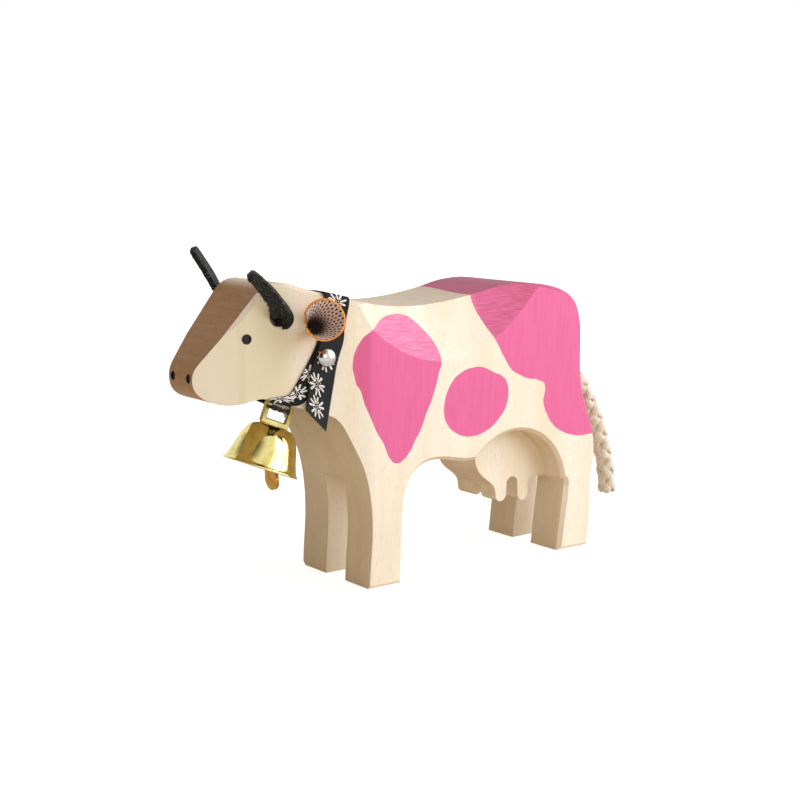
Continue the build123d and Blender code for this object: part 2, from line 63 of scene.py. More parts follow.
def placeCamera():
    camData = bpy.data.cameras.new("photoCamera")
    camData.lens = photoCamera["lens"]
    camData.sensor_width = photoCamera["sensor"]
    camData.clip_start = 0.01
    cam = newObject("photoCamera", camData)
    cam.location = Vector(photoCamera["place"]) * mm
    cam.rotation_euler = (radians(90 - photoCamera["down"]), 0, radians(photoCamera["turn"]))
    bpy.context.scene.camera = cam


placeCamera()
print("camera placed")


# Small helpers for shader nodes, which go into the tree opened last

opened = {}


def openTree(owner):
    owner.use_nodes = True
    opened["owner"], opened["tree"] = owner, owner.node_tree
    return owner.node_tree


def feed(socket, value):
    if isinstance(value, bpy.types.NodeSocket):
        opened["tree"].links.new(value, socket)
    else:
        socket.default_value = value


def put(kind, inputs=None, **settings):
    node = opened["tree"].nodes.new("ShaderNode" + kind)
    for key, value in settings.items():
        setattr(node, key, value)
    for key, value in (inputs or {}).items():
        feed(node.inputs[key], value)
    return node


def coords(kind):
    return put("TexCoord").outputs[kind]


def maths(operation, *values):
    return put("Math", dict(enumerate(values)), operation=operation).outputs[0]


def times(*values):
    return maths("MULTIPLY", *values)


def timesPlus(*values):
    return maths("MULTIPLY_ADD", *values)


def vectorMaths(operation, *values):
    return put("VectorMath", dict(enumerate(values)), operation=operation)


def fade(value, low, high, toLow=0.0, toHigh=1.0):
    inputs = {"Value": value, "From Min": low, "From Max": high, "To Min": toLow, "To Max": toHigh}
    return put("MapRange", inputs, interpolation_type="SMOOTHSTEP").outputs[0]


# The product of several fades, each given as fade takes it
def where(*fades):
    mask = fade(*fades[0])
    for values in fades[1:]:
        mask = times(mask, fade(*values))
    return mask


def mixTones(factor, first, second):
    return put("Mix", {0: factor, 6: first, 7: second}, data_type="RGBA").outputs[2]


# Each layer is a mask and the tone that it lays over the ones before
def layered(colour, *layers):
    for mask, over in layers:
        colour = mixTones(mask, colour, over)
    return colour


def stretch(vector, scale, turn=(0, 0, 0)):
    return put("Mapping", {"Vector": vector, "Scale": scale, "Rotation": turn}).outputs[0]


def inMm():
    return stretch(coords("Object"), (perMm, perMm, perMm))


# Soft noise; a scale of three numbers draws it out along the axes
def cloud(vector, scale=1.0, detail=3.0, rough=0.55, turn=(0, 0, 0)):
    if isinstance(scale, tuple):
        vector, scale = stretch(vector, scale, turn), 1.0
    inputs = {"Vector": vector, "Scale": scale, "Detail": detail, "Roughness": rough}
    return put("TexNoise", inputs).outputs[0]


def cells(vector, scale=1.0):
    return put("TexVoronoi", {"Vector": vector, "Scale": scale}).outputs[0]


# 0 to 255 as seen on a screen
def tone(*parts):
    curved = (((part / 255 + 0.055) / 1.055) ** 2.4 if part > 10 else part / 255 / 12.92 for part in parts)
    return (*curved, 1.0)


def startMaterial(name, specular, **surface):
    inputs = openTree(bpy.data.materials.new(name)).nodes["Principled BSDF"].inputs
    inputs["Specular IOR Level"].default_value = specular
    for key, value in surface.items():
        inputs[key.replace("_", " ")].default_value = value


# The open material, given its colour, roughness and relief, with the relief's depth in mm
def finished(colour, rough, height, strength, depth):
    inputs = opened["tree"].nodes["Principled BSDF"].inputs
    bump = put("Bump", {"Height": height, "Strength": strength, "Distance": depth * mm}).outputs[0]
    for name, value in (("Base Color", colour), ("Roughness", rough), ("Normal", bump)):
        feed(inputs[name], value)
    return opened["owner"]


# A material that both sides share
def shared(name, maker, *values):
    return bpy.data.materials.get(name) or maker(name, *values)


def dress(node, material):
    for slot in node.material_slots:
        slot.material = material
    if not node.material_slots:
        node.data.materials.append(material)


# Wood: pale beech, stained patches, painted eyes and nostrils

wood = {
    "pale": tone(243, 236, 221),
    "broadFigure": tone(236, 223, 200),
    "fleck": tone(206, 172, 128),
    "endGrain": tone(206, 172, 132),
    "endDots": tone(190, 158, 120),
    "endRings": tone(230, 206, 172),
    # painted light on the feet's down-facing edges
    "paintedLightSoles": tone(255, 246, 228),
    # painted shade on the head's sides
    "headSideShade": tone(228, 219, 186),
    # end grain and painted shade on the head's forward faces
    "slant": tone(184, 138, 92),
    "slantDots": tone(164, 116, 72),
    "slantRings": tone(196, 152, 104),
    # painted light on the forehead's broken edges
    "paintedLightFacet": tone(255, 248, 236),
    "fibres": tone(240, 226, 202),
    "stain": tone(226, 94, 157),
    "stainDeep": tone(218, 82, 146),
    "stainFleck": tone(184, 60, 112),
    "stainLevel": tone(160, 40, 86),
    # painted shade on stained faces that look forward
    "stainForwardShade": tone(198, 68, 118),
    # painted light and shade on the hollowed flank: lit and shaded stain tones
    "stainHollowLit": (tone(220, 100, 154), tone(234, 150, 188)),
    "stainHollowShaded": (tone(192, 62, 118), tone(218, 94, 150)),
    "paint": tone(22, 20, 19),
    "eye": ((11.67, -56.5, 75.9), 2.9),  # place, and how far across
    "nostril": ((4.4, -70.4, 65.3), 2.8),
    "softEdge": 0.12,  # mm either side of where stain or paint ends
    "farShift": (2.6, -1.8),  # the far side's patches sit a little further back and lower
}
# Patches on the flank: a centre and an outline, as Y and Z in mm
patches = {
    "shoulder": ((-9.5, 61.0), [
        (-24.8, 67.7), (-22.0, 73.8), (-17.9, 76.9), (-14.8, 79.3), (-10.5, 80.3), (-5.8, 80.0),
        (-1.9, 77.9), (1.3, 75.1), (4.2, 72.0), (6.7, 66.0), (5.5, 61.5), (3.1, 54.6),
        (-1.8, 44.7), (-5.0, 39.8), (-7.4, 37.5), (-9.8, 36.7), (-12.1, 38.1), (-16.0, 45.0),
        (-21.8, 57.5), (-24.3, 63.2),
    ]),
    "belly": ((20.0, 52.0), [
        (7.6, 50.9), (9.2, 56.7), (12.1, 60.3), (15.4, 62.0), (20.5, 62.8), (26.5, 60.8),
        (30.3, 59.3), (32.6, 56.4), (32.9, 52.6), (31.5, 48.6), (27.6, 44.6), (22.4, 42.1),
        (17.7, 41.6), (12.0, 43.4), (8.3, 47.4),
    ]),
    "rump": ((58.0, 66.0), [
        (28.1, 69.6), (23.8, 75.9), (20.9, 81.5), (20.6, 86.0), (30.0, 100.0), (58.0, 106.0),
        (90.0, 98.0), (98.0, 70.0), (84.0, 40.0), (69.9, 37.1), (62.4, 37.1), (56.7, 38.7),
        (52.0, 41.6), (49.1, 45.4), (47.5, 49.6), (47.8, 55.2), (45.4, 56.6), (42.0, 57.2),
        (38.0, 58.6), (33.9, 61.1), (30.8, 65.4),
    ]),
}


# 1 inside the outline, by its distance from the centre at each angle
def patchMask(y, z, patch, wobble):
    (centreY, centreZ), outline = patch
    polar = sorted((atan2(b - centreZ, a - centreY) / (2 * pi) + 0.5, hypot(a - centreY, b - centreZ))
                   for a, b in outline)
    reach = max(radius for _, radius in polar)
    (firstTurn, firstRadius), (lastTurn, lastRadius) = polar[0], polar[-1]
    gap = firstTurn + 1 - lastTurn
    joinRadius = lastRadius + (firstRadius - lastRadius) * (1 - lastTurn) / gap
    fromY, fromZ = maths("SUBTRACT", y, centreY), maths("SUBTRACT", z, centreZ)
    curve = put("FloatCurve", {"Value": timesPlus(maths("ARCTAN2", fromZ, fromY), 1 / (2 * pi), 0.5)})
    line = curve.mapping.curves[0]
    line.points[0].location = (0, joinRadius / reach)
    line.points[1].location = (1, joinRadius / reach)
    for place, radius in polar:
        line.points.new(place, radius / reach)
    curve.mapping.update()
    edge = timesPlus(curve.outputs[0], reach, wobble)
    squares = times(fromZ, fromZ)
    distance = maths("SQRT", timesPlus(fromY, fromY, squares))
    return fade(maths("SUBTRACT", edge, distance), -wood["softEdge"], wood["softEdge"])


# 1 inside a round painted spot, the same on both sides
def spotMask(point, centre, across):
    mirrored = vectorMaths("ABSOLUTE", point).outputs[0]
    reach = vectorMaths("DISTANCE", mirrored, tuple(abs(c) for c in centre)).outputs["Value"]
    return fade(reach, across / 2 + wood["softEdge"], across / 2 - wood["softEdge"])


def beechMaterial():
    startMaterial("beechWood", 0.35)
    point = inMm()
    x, y, z = put("SeparateXYZ", {0: point}).outputs
    grain = stretch(point, (1, 1, 1), (radians(3), radians(1), 0))
    normal = put("SeparateXYZ", {0: coords("Normal")}).outputs
    rearward, up = normal[1], normal[2]
    sideways, level = maths("ABSOLUTE", normal[0]), maths("ABSOLUTE", up)

    # Vertical grain: soft broad figure, fine pores and short ray flecks
    figure = cloud(grain, (0.22, 0.11, 0.012))
    pores = cloud(grain, (3.2, 3.2, 0.3), 4.0, 0.6)
    flecks = where((cells(stretch(grain, (1.0, 1.0, 0.24))), 0.26, 0.12),
                   (cloud(grain, (0.35, 0.35, 0.12), 2.0), 0.42, 0.6))
    colour = layered(
        wood["pale"], (fade(figure, 0.3, 0.75), wood["broadFigure"]),
        (fade(pores, 0.5, 0.78, 0.0, 0.34), wood["fleck"]), (times(flecks, 0.26), wood["fleck"]),
    )

    # Sawn faces that slope or lie flat show darker end grain
    rings = cloud(point, (0.09, 0.8, 0.5), 2.0)
    speckled = fade(cloud(point, (1.1, 3.4, 1.6), 5.0, 0.65), 0.35, 0.7)
    endTone = mixTones(speckled, wood["endGrain"], wood["endDots"])
    endTone = mixTones(fade(rings, 0.35, 0.7, 0.0, 0.5), endTone, wood["endRings"])
    sawn = where((level, 0.25, 0.8, 0.0, 0.5), (z, 0.9, 2.5))
    # Painted light: the down-facing edges at the feet are paler, to lift the shade they lie in
    paintedLightSoles = where((up, -0.3, -0.5), (z, 1.2, 0.8))
    # Painted shade: the head's sides are darker and yellower, as they turn a little towards the warm shade
    # in front
    headSideShade = where((y, -40.0, -48.0), (z, 50.0, 55.0), (level, 0.5, 0.3, 0.0, 0.8))
    # The forehead is cut across the grain on the slant and shows darker end grain; the deep brown on the
    # head's forward faces also paints the shade they lie in
    slant = where((rearward, -0.2, -0.7), (z, 54.5, 58.0), (sideways, 0.6, 0.4, 0.0, 0.85))
    slantTone = mixTones(speckled, wood["slant"], wood["slantDots"])
    slantTone = mixTones(fade(rings, 0.4, 0.7, 0.0, 0.4), slantTone, wood["slantRings"])
    # Painted light: the forehead's broken edges are paler, to lift their shading to the sides' tone
    paintedLightFacet = where((rearward, -0.25, -0.45), (z, 54.5, 58.0), (sideways, 0.45, 0.6, 0.0, 0.8))
    # Rough pale fibres along the broken edges
    broken = where((sideways, 0.5, 0.62), (sideways, 0.86, 0.74))
    fibres = cloud(point, (1.4, 1.4, 2.6), 4.0, 0.7)
    torn = times(broken, fade(fibres, 0.42, 0.66, 0.0, 0.55))
    colour = layered(
        colour, (sawn, endTone), (paintedLightSoles, wood["paintedLightSoles"]), (headSideShade, wood["headSideShade"]),
        (slant, slantTone), (paintedLightFacet, wood["paintedLightFacet"]), (torn, wood["fibres"]),
    )

    # Stained patches, the far side's a little out of line with the near side's
    farSide = fade(x, 12.0, -12.0)
    patchY = timesPlus(farSide, -wood["farShift"][0], y)
    patchZ = timesPlus(farSide, -wood["farShift"][1], z)
    wobble = timesPlus(cloud(point, (0.02, 0.35, 0.35)), 0.5, -0.25)
    stained = 0.0
    for patch in patches.values():
        stained = maths("MAXIMUM", stained, patchMask(patchY, patchZ, patch, wobble))
    brushed = cloud(grain, (0.9, 0.9, 0.07), 4.0)
    # Painted shade: stain on faces that look forward, higher than 20 to 30 mm, is darker
    neck = where((rearward, -0.1, -0.25), (z, 20.0, 30.0, 0.0, 0.85))
    # Painted light and shade on the upward-tilted hollow: its pink is lighter in front of Y 18 to 24 mm and
    # darker behind, with the growth rings showing as streaks
    hollow = where((up, 0.08, 0.16), (level, 0.75, 0.6), (sideways, 0.45, 0.6, 0.0, 0.8))
    lines = cloud(point, (0.8, 0.2, 4.2), 4.0)
    litHollow = mixTones(fade(lines, 0.35, 0.68), *wood["stainHollowLit"])
    thick = mixTones(fade(lines, 0.4, 0.68), *wood["stainHollowShaded"])
    stain = layered(
        wood["stain"], (fade(brushed, 0.3, 0.75, 0.0, 0.7), wood["stainDeep"]),
        (times(flecks, 0.18), wood["stainFleck"]),
        (fade(level, 0.5, 0.8, 0.0, 0.9), wood["stainLevel"]),
        (neck, wood["stainForwardShade"]), (hollow, mixTones(fade(y, 18.0, 24.0), litHollow, thick)),
    )

    # Painted eyes and nostrils
    painted = maths("MAXIMUM", spotMask(point, *wood["eye"]), spotMask(point, *wood["nostril"]))
    colour = layered(colour, (times(stained, 0.96), stain), (painted, wood["paint"]))
    rough = timesPlus(pores, 0.16, 0.5)
    rough = timesPlus(stained, -0.06, rough)
    rough = timesPlus(painted, -0.25, rough)
    height = timesPlus(flecks, -0.6, pores)
    height = timesPlus(times(broken, fibres), 1.5, height)
    return finished(colour, rough, height, 0.22, 0.12)


dress(nodes["wooden_body"], beechMaterial())
block = nodes["wooden_body"].data
woodSurface = BVHTree.FromPolygons(
    [vertex.co.copy() for vertex in block.vertices], [tuple(polygon.vertices) for polygon in block.polygons],
)
print("wooden body dressed")


# Metals: polished brass for the bell, nickel for the nail

def metalMaterial(name, bright, dull, rough):
    startMaterial(name, 0.6, Metallic=1.0)
    point = inMm()
    tarnish = cloud(point, 0.35, 4.0)
    scratches = cloud(point, (0.6, 5.0, 5.0), turn=(0.3, 0.2, 0.5))
    colour = mixTones(fade(tarnish, 0.35, 0.75), bright, dull)
    roughness = timesPlus(scratches, 0.1, rough)
    roughness = timesPlus(tarnish, 0.06, roughness)
    return finished(colour, roughness, scratches, 0.05, 0.02)


shellBrass = metalMaterial("shellBrass", tone(240, 226, 150), tone(216, 196, 108), 0.06)
loopBrass = metalMaterial("loopBrass", tone(238, 224, 150), tone(214, 196, 112), 0.13)
clapperBrass = metalMaterial("clapperBrass", tone(196, 142, 58), tone(160, 108, 40), 0.2)
nickel = metalMaterial("nickelPlate", tone(214, 210, 204), tone(176, 172, 166), 0.08)
dress(nodes["clapper"], clapperBrass)
dress(nodes["clapper_pin"], clapperBrass)


# Meshes

# A mesh piece from points in mm, riding on a body in place of its CAD node
def newPiece(name, points, faces, materials, replacing, slotName, uvs=None, groups=None, body="figure"):
    mesh = bpy.data.meshes.new(name)
    mesh.from_pydata([Vector(p) * mm for p in points], [], faces)
    if uvs:
        layer = mesh.uv_layers.new(name="cut")
        for loop in mesh.loops:
            layer.data[loop.index].uv = uvs[loop.vertex_index]
    for material in materials:
        mesh.materials.append(material)
    for index, polygon in enumerate(mesh.polygons):
        polygon.use_smooth = True
        if groups:
            polygon.material_index = groups[index]
    mesh.validate()
    piece = newObject(name, mesh)
    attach(piece, body)
    if replacing:
        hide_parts(replacing)
    return piece


# Rows of points that run smoothly through the stations, each a list of points across
def throughStations(stations, steps):
    rows = []
    for index in range(len(stations) - 1):
        before = stations[max(index - 1, 0)]
        start, end = stations[index], stations[index + 1]
        after = stations[min(index + 2, len(stations) - 1)]
        for step in range(steps):
            t = step / steps
            row = []
            for a, b, c, d in zip(before, start, end, after):
                square, cube = 2 * a - 5 * b + 4 * c - d, 3 * b - a - 3 * c + d
                row.append((2 * b + (c - a) * t + square * t ** 2 + cube * t ** 3) / 2)
            rows.append(row)
    rows.append([Vector(p) for p in stations[-1]])
    return rows


# The way a line runs at one of its points
def headingAt(points, i):
    return (points[min(i + 1, len(points) - 1)] - points[max(i - 1, 0)]).normalized()


# Faces between rings of points, each ring closed on itself
def ringFaces(start, rings, size, closed=False):
    faces = []
    for i in range(rings if closed else rings - 1):
        row, after = start + i * size, start + (i + 1) % rings * size
        for k in range(size):
            m = (k + 1) % size
            faces.append((row + k, row + m, after + m, after + k))
    return faces


def rowNormals(rows, closed=False):
    count, wide = len(rows), len(rows[0])
    normals = []
    for i in range(count):
        row = []
        after, before = min(i + 1, count - 1), max(i - 1, 0)
        if closed:
            after, before = (i + 1) % count, i - 1
        for j in range(wide):
            across = rows[i][min(j + 1, wide - 1)] - rows[i][max(j - 1, 0)]
            row.append((rows[after][j] - rows[before][j]).cross(across).normalized())
        normals.append(row)
    return normals


# Points, faces, uvs (mm across and along) and face groups of a strip with real thickness
def stripSolid(rows, thickness, closed=False, outward=1):
    normals = rowNormals(rows, closed)
    count, wide = len(rows), len(rows[0])
    middle = wide // 2
    along, length = [0.0], 0.0
    for i in range(1, count):
        length += (rows[i][middle] - rows[i - 1][middle]).length
        along.append(length)
    points, uvs = [], []
    for side in (0.5, -0.5):
        for i in range(count):
            for j in range(wide):
                points.append(rows[i][j] + normals[i][j] * thickness * side * outward)
                offset = (rows[i][j] - (rows[i][0] + rows[i][-1]) / 2).length
                offset = offset if j >= wide / 2 else -offset
                uvs.append((offset, along[i]))
    size = count * wide
    faces, groups = [], []

    def addRim(a, b, backwards):
        faces.append((b, size + b, size + a, a) if backwards else (a, size + a, size + b, b))
        groups.append(2)

    for i in range(count if closed else count - 1):
        k = (i + 1) % count
        for j in range(wide - 1):
            a, b, c, d = i * wide + j, k * wide + j, k * wide + j + 1, i * wide + j + 1
            faces += [(a, b, c, d), (size + d, size + c, size + b, size + a)]
            groups += [0, 1]
        for j in (0, wide - 1):
            addRim(i * wide + j, k * wide + j, j > 0)
    for i in () if closed else (0, count - 1):
        for j in range(wide - 1):
            addRim(i * wide + j, i * wide + j + 1, i > 0)
    return points, faces, uvs, groups, normals, along


# A profile of (radius, height) pairs turned round an axis
def turned(profile, origin, axis, segments=96):
    side = axis.orthogonal().normalized()
    square = axis.cross(side).normalized()
    points, faces, uvs = [], [], []
    for k in range(segments):
        angle = 2 * pi * k / segments
        out = side * cos(angle) + square * sin(angle)
        for i, (radius, height) in enumerate(profile):
            points.append(origin + out * radius + axis * height)
            uvs.append((k, i))
    count = len(profile)
    for k in range(segments):
        base, following = k * count, (k + 1) % segments * count
        for i in range(count - 1):
            faces.append((base + i, following + i, following + i + 1, base + i + 1))
    return points, faces, uvs


# Bell: a flat loop with broken edges on a spun shell with a turned rim

bell = {
    "pivot": Vector((0.0, -38.85, 54.1)),
    "tilt": 22.0,
    "loopWide": 10.1, "loopHigh": 6.6, "bar": 1.75, "thick": 1.35,
    "broken": 0.28, "corner": 0.75,
    "profile": [
        (2.4, 0.05), (4.4, 0.0), (5.5, -0.25), (6.3, -0.7), (7.0, -1.4), (7.6, -2.3), (8.1, -3.4),
        (8.5, -4.5), (8.85, -5.7), (9.2, -7.1), (9.6, -8.5), (10.05, -9.9), (10.5, -11.2), (10.9, -12.0),
        (11.2, -12.2), (11.32, -12.45), (11.2, -12.7), (10.9, -12.8), (10.6, -12.6),
    ],
    "barAbove": 0.6,  # the loop's outer top edge over the pivot
    "wall": 0.55,
}


# A rectangle with round corners, set in from the loop's outer edge
def loopContour(inset, steps=6):
    half, top = bell["loopWide"] / 2 - inset, bell["barAbove"] - inset * 0.72
    low = bell["barAbove"] - bell["loopHigh"] + inset
    corner = max(bell["corner"] - inset * 0.45, 0.35)
    contour = []
    for a, u, start in ((half, top, 0), (-half, top, 90), (-half, low, 180), (half, low, 270)):
        middleA, middleU = a - copysign(corner, a), u - (corner if u == top else -corner)
        for k in range(steps + 1):
            angle = radians(start + 90 * k / steps)
            contour.append((middleA + corner * cos(angle), middleU + corner * sin(angle)))
    return contour


def makeBell():
    lean = radians(bell["tilt"])
    up, along = Vector((0, sin(lean), cos(lean))), Vector((0, cos(lean), -sin(lean)))
    out = Vector((1, 0, 0))
    broken, half, bar = bell["broken"], bell["thick"] / 2, bell["bar"]
    section = [
        (0.0, half - broken), (broken, half), (bar - broken, half), (bar, half - broken),
        (bar, broken - half), (bar - broken, -half), (broken, -half), (0.0, broken - half),
    ]
    points = []
    for inset, aside in section:
        for a, u in loopContour(inset):
            points.append(bell["pivot"] + along * a + up * u + out * aside)
    faces = ringFaces(0, len(section), len(points) // len(section), True)
    loop = newPiece("bellLoop", points, faces, [loopBrass], "bell_loop", "brass", body="bell")
    for polygon in loop.data.polygons:
        polygon.use_smooth = False
    crown = bell["pivot"] + up * (bell["barAbove"] - bell["loopHigh"])
    wall = bell["wall"]
    inside = [(max(radius - wall, 0.01), height - wall * 0.8) for radius, height in bell["profile"][1:-4]]
    profile = [(0.01, 0.05)] + bell["profile"] + inside[::-1] + [(0.01, -wall)]
    points, faces, uvs = turned(profile, crown, up)
    newPiece("bellShell", points, faces, [shellBrass], "bell_shell", "brass", uvs, body="bell")
    print("bell made")


makeBell()


# Tail: a short length of plaited rope on the route of the CAD's tail

tailRope = {
    "route": [
        (0.0, 58.1, 55.2), (0.0, 69.0, 55.4), (0.0, 77.8, 53.4), (0.0, 83.5, 45.4),
        (0.0, 88.3, 36.0), (0.0, 91.8, 26.0), (0.0, 93.6, 18.4), (0.0, 94.2, 11.4),
    ],
    "across": 6.4, "length": 65.3,
    "strandsEachWay": 4, "strandWide": 2.75, "strandThick": 1.5,
    "weave": 0.42,  # how far a strand rises and dips
    "turnEvery": 27.0,  # mm of rope for a full turn of a strand
    "ring": 10,  # points round a strand
    "gap": 0.35,  # mm between points along it
    "cutRound": 1.2,  # mm over which the cut end is rubbed round
    "cutThin": 0.9,
    "yarnsRound": 6.0, "yarnsAlong": 1.2,
    "fuzz": 260, "fuzzLong": (0.7, 1.5), "fuzzHalf": 0.035,
}


def ropeMaterial():
    startMaterial("juteRope", 0.2)
    point = inMm()
    yarns = cloud(coords("UV"), (5.0, 0.35, 1.0), 4.0, 0.6, (0, 0, radians(24)))
    lots = cloud(point, 0.55)
    dark = cloud(point, 1.6, 4.0)
    colour = layered(
        tone(234, 229, 216), (fade(yarns, 0.3, 0.72), tone(190, 178, 156)),
        (fade(lots, 0.4, 0.7, 0.0, 0.6), tone(236, 230, 218)),
        (fade(dark, 0.58, 0.76, 0.0, 0.45), tone(142, 112, 84)),
    )
    return finished(colour, timesPlus(yarns, 0.15, 0.78), yarns, 0.6, 0.25)


# The rope's own line, read from a NURBS curve through the route
def routePoints():
    curveData = bpy.data.curves.new("tailLine", "CURVE")
    curveData.dimensions = "3D"
    curveData.resolution_u = 24
    spline = curveData.splines.new("NURBS")
    spline.points.add(len(tailRope["route"]) - 1)
    for point, place in zip(spline.points, tailRope["route"]):
        point.co = (*(Vector(place) * mm), 1.0)
    spline.order_u = 3
    spline.use_endpoint_u = True
    line = newObject("tailLine", curveData)
    bpy.context.view_layer.update()
    mesh = bpy.data.meshes.new_from_object(line.evaluated_get(bpy.context.evaluated_depsgraph_get()))
    points = [v.co / mm for v in mesh.vertices]
    bpy.data.objects.remove(line)
    bpy.data.meshes.remove(mesh)
    return points


# The same line with its points a fixed gap apart
def evenly(points, gap):
    walked = [0.0]
    for a, b in zip(points, points[1:]):
        walked.append(walked[-1] + (b - a).length)
    count = round(walked[-1] / gap)
    even, k = [], 0
    for i in range(count + 1):
        want = walked[-1] * i / count
        while k < len(points) - 2 and walked[k + 1] < want:
            k += 1
        share = (want - walked[k]) / max(walked[k + 1] - walked[k], 1e-9)
        even.append(points[k].lerp(points[k + 1], share))
    return even, walked[-1]


# A loose fibre: a thin three-sided spike that bends back
def addFibre(points, faces, uvs, base, out, lean, long, half):
    side = lean.cross(out).normalized() * half
    start = len(points)
    for t in (0.0, 0.5, 1.0):
        middle = base + lean * long * t - out * 0.23 * long * t * t
        for corner in (side, out * half, -side - out * half):
            points.append(middle + corner * (1 - 0.6 * t))
            uvs.append((0.0, t))
    faces.extend(ringFaces(start, 3, 3))


def makeTail():
    line, total = evenly(routePoints(), tailRope["gap"])
    walked = [total * i / (len(line) - 1) for i in range(len(line))]
    sideways = Vector((1, 0, 0))
    halfWide, halfThick = tailRope["strandWide"] / 2, tailRope["strandThick"] / 2
    reach = tailRope["across"] / 2 - halfThick - tailRope["weave"]
    turns = 2 * pi / tailRope["turnEvery"]
    ways, ring = tailRope["strandsEachWay"], tailRope["ring"]
    points, faces, uvs = [], [], []

    def outAt(i, angle):
        up = headingAt(line, i).cross(sideways).normalized()
        return sideways * cos(angle) + up * sin(angle)

    for way in (1, -1):
        for strand in range(ways):
            start = len(points)
            centres, outs = [], []
            for i, s in enumerate(walked):
                out = outAt(i, way * turns * s + 2 * pi * strand / ways)
                rise = tailRope["weave"] * way * cos(ways * turns * s)
                last = min(1.0, (total - s) / tailRope["cutRound"])
                centres.append(line[i] + out * (reach + rise) * (0.72 + 0.28 * last ** 0.5))
                outs.append(out)
            for i, s in enumerate(walked):
                run = headingAt(centres, i)
                out = (outs[i] - run * outs[i].dot(run)).normalized()
                broad = run.cross(out)
                last = min(1.0, (total - s) / tailRope["cutThin"])
                size = 0.55 + 0.45 * last ** 0.5
                for k in range(ring):
                    a = 2 * pi * k / ring
                    points.append(centres[i] + (broad * cos(a) * halfWide + out * sin(a) * halfThick) * size)
                    uvs.append((k / ring * tailRope["yarnsRound"], s * tailRope["yarnsAlong"]))
            faces += ringFaces(start, len(centres), ring)
            last = len(points) - ring
            faces += [tuple(range(start, start + ring))[::-1], tuple(range(last, last + ring))]
    # Loose fibres stand off the plait
    for _ in range(tailRope["fuzz"]):
        i = dice.randrange(24, len(line) - 1)
        heading, out = headingAt(line, i), outAt(i, dice.uniform(0, 2 * pi))
        base = line[i] + out * (tailRope["across"] / 2 - 0.5)
        lean = out * dice.uniform(0.25, 0.7) + heading * dice.uniform(-1, 1)
        lean = (lean + out.cross(heading) * dice.uniform(-1, 1)).normalized()
        long = dice.uniform(*tailRope["fuzzLong"])
        addFibre(points, faces, uvs, base, out, lean, long, tailRope["fuzzHalf"])
    tail = newPiece("tailRope", points, faces, [ropeMaterial()], "tail_rope", "rope", uvs)
    print("tail rope:", round(total, 1), "mm")


makeTail()


# The tapered sides that ribbon, nail, horns and ears sit on

headSide = {"at": -18.43, "halfWide": 18.0, "narrowing": 0.1662}


def headHalf(y):
    return headSide["halfWide"] - (headSide["at"] - y) * headSide["narrowing"]


def sideFrame(side, y, z):
    slope = atan(headSide["narrowing"])
    out = Vector((side * cos(slope), -sin(slope), 0))
    forward = Vector((-side * sin(slope), -cos(slope), 0))
    return Vector((side * headHalf(y), y, z)), out, forward


# Nail: a high round head on the ribbon's ends

nail = {
    "place": (-33.3, 69.62),  # Y and Z
    "half": 2.75, "dome": 1.75, "domeFrom": 1.15,
    "under": [(2.55, 0.85), (0.65, 0.8), (0.65, -5.6), (0.01, -5.8)],  # the head's rim and the shank
}


def makeNail():
    seat, out, _ = sideFrame(1, *nail["place"])
    half, dome, low = nail["half"], nail["dome"], nail["domeFrom"]
    arc = [(half * cos(radians(a)), low + dome * sin(radians(a))) for a in range(84, -1, -6)]
    points, faces, uvs = turned([(0.01, low + dome)] + arc + nail["under"], seat, out, 64)
    newPiece("ribbonNail", points, faces, [nickel], "ribbon_tack", "nickel", uvs)


makeNail()
print("nail made")


# Horns: strips of black leather, cupped where they come out of their holes

horn = {
    "foot": (-47.1, 81.5),
    "reach": 10.2, "faceAngle": 43.0,
    "rises": {"left": 12.9, "right": 18.2},
    # Out, up, share of the rise, forward, share of the reach
    "line": [
        (-3.2, -1.6, 0.0, -0.6, 0.0), (0.2, -0.2, 0.0, -0.9, 0.0), (2.2, 0.0, 0.16, 0.6, 0.0),
        (3.3, 0.0, 0.5, 0.0, 0.36), (3.8, 0.0, 0.8, 0.0, 0.72), (3.9, -0.2, 1.0, -0.2, 1.0),
    ],
    "thick": 1.7, "acrossPoints": 13, "cup": 0.9, "steps": 16, "ragged": (-0.12, 0.16),
    "frays": 110, "frayLong": (0.35, 0.85), "frayHalf": 0.08,
    "widths": [
        (0.0, 4.6), (0.14, 5.9), (0.26, 6.1), (0.38, 5.2), (0.55, 4.0), (0.8, 3.3), (0.93, 2.9), (1.0, 1.9),
    ],
    # Dark and light tone, and how fine the fibres are
    "suede": (tone(2, 2, 2), tone(112, 110, 104), 4.0),
    "edge": (tone(8, 8, 8), tone(124, 120, 112), 2.5),
    "fray": (tone(70, 69, 66), tone(176, 172, 164), 2.0),
}


def leatherMaterial(name, dark, light, fibre):
    startMaterial(name, 0.25)
    uv = coords("UV")
    threads = cloud(uv, (fibre, 0.7, 1.0), 5.0, 0.7)
    blotch = cloud(uv, (0.5, 0.4, 1.0))
    colour = layered(dark, (fade(threads, 0.47, 0.75), light), (fade(blotch, 0.5, 0.8, 0.0, 0.2), light))
    return finished(colour, timesPlus(threads, 0.3, 0.5), threads, 0.7, 0.25)


# A value read from a table, easing from one row to the next
def between(table, t):
    for (a, low), (b, high) in zip(table, table[1:]):
        if t <= b:
            share = (t - a) / (b - a)
            share = share * share * (3 - 2 * share)
            return low + (high - low) * share
    return table[-1][1]


